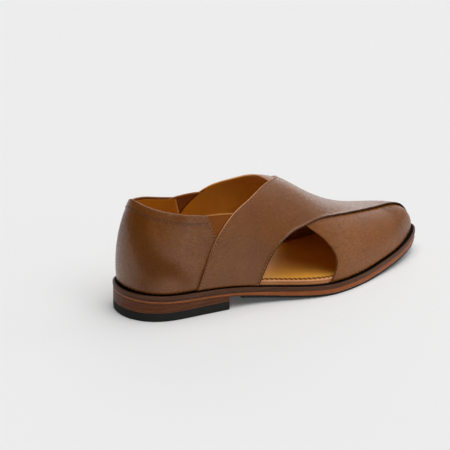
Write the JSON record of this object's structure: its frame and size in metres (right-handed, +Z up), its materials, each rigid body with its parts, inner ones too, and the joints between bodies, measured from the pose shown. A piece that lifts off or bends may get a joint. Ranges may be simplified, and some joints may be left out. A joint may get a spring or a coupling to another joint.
{
  "type": "peshawari chappal",
  "caption": "Leather sandal for the right foot: closed heel, broad straps crossing over instep and toe, elastic gussets, footbed, and a leather sole with a stacked heel.",
  "frame": {"origin": "middle of the bounding box in plan, on the floor that the heel and the forefoot rest on", "axes": "+X from heel to toe, +Y towards the inner (medial) side of the right foot, +Z up"},
  "size_m": [0.3, 0.1074, 0.1005],
  "materials": {
    "upper_leather": "fine pebble grain, satin",
    "lining_leather": "smooth, matte",
    "elastic": "ribbed woven elastic",
    "thread": "waxed thread",
    "footbed_leather": "smooth, satin",
    "welt_leather": "dyed edge, satin",
    "sole_leather": "waxed edge, satin",
    "heel_leather": "waxed stacked edge, satin",
    "sole_rubber": "matte"
  },
  "bodies": {
    "root": {"upper": "upper_leather", "gusset_lateral": "elastic", "gusset_medial": "elastic", "insole": "footbed_leather", "welt": "welt_leather", "outsole": "sole_leather", "heel_stack": "heel_leather", "heel_rubber": "sole_rubber", "forefoot_rubber": "sole_rubber"}
  },
  "joints": []
}
